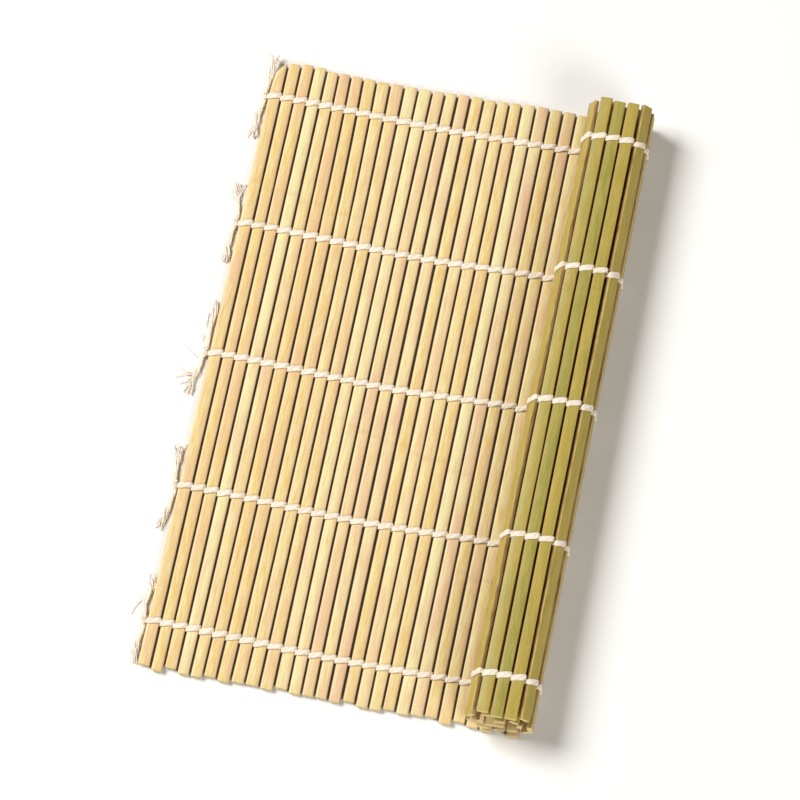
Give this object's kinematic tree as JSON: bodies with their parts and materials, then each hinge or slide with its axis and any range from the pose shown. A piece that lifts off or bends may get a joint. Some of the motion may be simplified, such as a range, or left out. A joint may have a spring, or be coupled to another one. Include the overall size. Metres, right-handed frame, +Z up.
{
  "type": "sushi rolling mat",
  "caption": "Bamboo sushi rolling mat, natural side up, one end rolled onto itself. Slats twined with cotton; the roll unrolls flat and the free edge curls up.",
  "frame": {"origin": "middle of the bounding box, on the surface that the mat rests on", "axes": "+Y along the slats, +X across them from the free edge to the rolled end, +Z up from the rind side to the natural side of the flat part"},
  "size_m": [0.152, 0.2414, 0.0231],
  "materials": {
    "bamboo": "raw split bamboo, matt on the natural side, satin on the rind side",
    "cotton_twine": "undyed two-ply cotton twine"
  },
  "bodies": {
    "middle": {"middle_slats": "bamboo", "middle_lashing_1": "cotton_twine", "middle_lashing_2": "cotton_twine", "middle_lashing_3": "cotton_twine", "middle_lashing_4": "cotton_twine", "middle_lashing_5": "cotton_twine"},
    "rolled_28": {"slat_28": "bamboo", "lashing_28": "cotton_twine"},
    "rolled_29": {"slat_29": "bamboo", "lashing_29": "cotton_twine"},
    "rolled_30": {"slat_30": "bamboo", "lashing_30": "cotton_twine"},
    "rolled_31": {"slat_31": "bamboo", "lashing_31": "cotton_twine"},
    "rolled_32": {"slat_32": "bamboo", "lashing_32": "cotton_twine"},
    "rolled_33": {"slat_33": "bamboo", "lashing_33": "cotton_twine"},
    "rolled_34": {"slat_34": "bamboo", "lashing_34": "cotton_twine"},
    "rolled_35": {"slat_35": "bamboo", "lashing_35": "cotton_twine"},
    "rolled_36": {"slat_36": "bamboo", "lashing_36": "cotton_twine"},
    "rolled_37": {"slat_37": "bamboo", "lashing_37": "cotton_twine"},
    "rolled_38": {"slat_38": "bamboo", "lashing_38": "cotton_twine"},
    "rolled_39": {"slat_39": "bamboo", "lashing_39": "cotton_twine"},
    "rolled_40": {"slat_40": "bamboo", "lashing_40": "cotton_twine"},
    "rolled_41": {"slat_41": "bamboo", "lashing_41": "cotton_twine"},
    "rolled_42": {"slat_42": "bamboo", "lashing_42": "cotton_twine"},
    "rolled_43": {"slat_43": "bamboo", "lashing_43": "cotton_twine"},
    "rolled_44": {"slat_44": "bamboo", "lashing_44": "cotton_twine"},
    "rolled_45": {"slat_45": "bamboo", "lashing_45": "cotton_twine"},
    "rolled_46": {"slat_46": "bamboo", "lashing_46": "cotton_twine"},
    "rolled_47": {"slat_47": "bamboo", "lashing_47": "cotton_twine", "core_knots": "cotton_twine"},
    "front_5": {"slat_05": "bamboo", "lashing_05": "cotton_twine"},
    "front_4": {"slat_04": "bamboo", "lashing_04": "cotton_twine"},
    "front_3": {"slat_03": "bamboo", "lashing_03": "cotton_twine"},
    "front_2": {"slat_02": "bamboo", "lashing_02": "cotton_twine"},
    "front_1": {"slat_01": "bamboo", "lashing_01": "cotton_twine", "edge_knots": "cotton_twine", "edge_tails": "cotton_twine"}
  },
  "joints": [
    {"name": "unroll_28", "type": "hinge", "parent": "middle", "child": "rolled_28", "pos_m": [0.06554, 0, 0.0023], "axis": [0, 1, 0], "range_deg": [0, 7.25]},
    {"name": "unroll", "type": "hinge", "parent": "rolled_28", "child": "rolled_29", "pos_m": [0.0705, 0, 0.00293], "axis": [0, 1, 0], "range_deg": [0, 45.63]},
    {"name": "unroll_30", "type": "hinge", "parent": "rolled_29", "child": "rolled_30", "pos_m": [0.07352, 0, 0.00692], "axis": [0, 1, 0], "range_deg": [0, 34.71]},
    {"name": "unroll_31", "type": "hinge", "parent": "rolled_30", "child": "rolled_31", "pos_m": [0.07373, 0, 0.01191], "axis": [0, 1, 0], "range_deg": [0, 6.66]},
    {"name": "unroll_32", "type": "hinge", "parent": "rolled_31", "child": "rolled_32", "pos_m": [0.07336, 0, 0.0169], "axis": [0, 1, 0], "range_deg": [0, 41.35]},
    {"name": "unroll_33", "type": "hinge", "parent": "rolled_32", "child": "rolled_33", "pos_m": [0.06979, 0, 0.0204], "axis": [0, 1, 0], "range_deg": [0, 39.85]},
    {"name": "unroll_34", "type": "hinge", "parent": "rolled_33", "child": "rolled_34", "pos_m": [0.06481, 0, 0.0208], "axis": [0, 1, 0], "range_deg": [0, 4.6]},
    {"name": "unroll_35", "type": "hinge", "parent": "rolled_34", "child": "rolled_35", "pos_m": [0.05981, 0, 0.0208], "axis": [0, 1, 0], "range_deg": [0, 6.57]},
    {"name": "unroll_36", "type": "hinge", "parent": "rolled_35", "child": "rolled_36", "pos_m": [0.05484, 0, 0.02023], "axis": [0, 1, 0], "range_deg": [0, 55.05]},
    {"name": "unroll_37", "type": "hinge", "parent": "rolled_36", "child": "rolled_37", "pos_m": [0.05246, 0, 0.01583], "axis": [0, 1, 0], "range_deg": [0, 28.66]},
    {"name": "unroll_38", "type": "hinge", "parent": "rolled_37", "child": "rolled_38", "pos_m": [0.05248, 0, 0.01083], "axis": [0, 1, 0], "range_deg": [0, 32.67]},
    {"name": "unroll_39", "type": "hinge", "parent": "rolled_38", "child": "rolled_39", "pos_m": [0.0552, 0, 0.00663], "axis": [0, 1, 0], "range_deg": [0, 52.14]},
    {"name": "unroll_40", "type": "hinge", "parent": "rolled_39", "child": "rolled_40", "pos_m": [0.06018, 0, 0.0062], "axis": [0, 1, 0], "range_deg": [0, 5.05]},
    {"name": "unroll_41", "type": "hinge", "parent": "rolled_40", "child": "rolled_41", "pos_m": [0.06518, 0, 0.00621], "axis": [0, 1, 0], "range_deg": [0, 27.3]},
    {"name": "unroll_42", "type": "hinge", "parent": "rolled_41", "child": "rolled_42", "pos_m": [0.06962, 0, 0.0085], "axis": [0, 1, 0], "range_deg": [0, 60.7]},
    {"name": "unroll_43", "type": "hinge", "parent": "rolled_42", "child": "rolled_43", "pos_m": [0.06979, 0, 0.0135], "axis": [0, 1, 0], "range_deg": [0, 49.71]},
    {"name": "unroll_44", "type": "hinge", "parent": "rolled_43", "child": "rolled_44", "pos_m": [0.06609, 0, 0.01686], "axis": [0, 1, 0], "range_deg": [0, 41.85]},
    {"name": "unroll_45", "type": "hinge", "parent": "rolled_44", "child": "rolled_45", "pos_m": [0.06109, 0, 0.0169], "axis": [0, 1, 0], "range_deg": [0, 20.9]},
    {"name": "unroll_46", "type": "hinge", "parent": "rolled_45", "child": "rolled_46", "pos_m": [0.05641, 0, 0.01515], "axis": [0, 1, 0], "range_deg": [0, 84.34]},
    {"name": "unroll_47", "type": "hinge", "parent": "rolled_46", "child": "rolled_47", "pos_m": [0.05768, 0, 0.01032], "axis": [0, 1, 0], "range_deg": [0, 72.72]},
    {"name": "curl_up", "type": "hinge", "parent": "middle", "child": "front_5", "pos_m": [-0.04446, 0, 0.0023], "axis": [0, 1, 0], "range_deg": [0, 26]},
    {"name": "curl_up_4", "type": "hinge", "parent": "front_5", "child": "front_4", "pos_m": [-0.04946, 0, 0.0023], "axis": [0, 1, 0], "range_deg": [0, 26.01]},
    {"name": "curl_up_3", "type": "hinge", "parent": "front_4", "child": "front_3", "pos_m": [-0.05446, 0, 0.0023], "axis": [0, 1, 0], "range_deg": [0, 26.01]},
    {"name": "curl_up_2", "type": "hinge", "parent": "front_3", "child": "front_2", "pos_m": [-0.05946, 0, 0.0023], "axis": [0, 1, 0], "range_deg": [0, 26.01]},
    {"name": "curl_up_1", "type": "hinge", "parent": "front_2", "child": "front_1", "pos_m": [-0.06446, 0, 0.0023], "axis": [0, 1, 0], "range_deg": [0, 26.01]}
  ],
  "couplings": [
    {"joint": "unroll_28", "follows": "unroll", "ratio": 0.15867},
    {"joint": "unroll_30", "follows": "unroll", "ratio": 0.76049},
    {"joint": "unroll_31", "follows": "unroll", "ratio": 0.14574},
    {"joint": "unroll_32", "follows": "unroll", "ratio": 0.90594},
    {"joint": "unroll_33", "follows": "unroll", "ratio": 0.8732},
    {"joint": "unroll_34", "follows": "unroll", "ratio": 0.10059},
    {"joint": "unroll_35", "follows": "unroll", "ratio": 0.14366},
    {"joint": "unroll_36", "follows": "unroll", "ratio": 1.2061},
    {"joint": "unroll_37", "follows": "unroll", "ratio": 0.62782},
    {"joint": "unroll_38", "follows": "unroll", "ratio": 0.71585},
    {"joint": "unroll_39", "follows": "unroll", "ratio": 1.1423},
    {"joint": "unroll_40", "follows": "unroll", "ratio": 0.11036},
    {"joint": "unroll_41", "follows": "unroll", "ratio": 0.59801},
    {"joint": "unroll_42", "follows": "unroll", "ratio": 1.33},
    {"joint": "unroll_43", "follows": "unroll", "ratio": 1.0891},
    {"joint": "unroll_44", "follows": "unroll", "ratio": 0.91684},
    {"joint": "unroll_45", "follows": "unroll", "ratio": 0.45774},
    {"joint": "unroll_46", "follows": "unroll", "ratio": 1.8481},
    {"joint": "unroll_47", "follows": "unroll", "ratio": 1.5935},
    {"joint": "curl_up_4", "follows": "curl_up", "ratio": 1},
    {"joint": "curl_up_3", "follows": "curl_up", "ratio": 1},
    {"joint": "curl_up_2", "follows": "curl_up", "ratio": 1},
    {"joint": "curl_up_1", "follows": "curl_up", "ratio": 1}
  ]
}
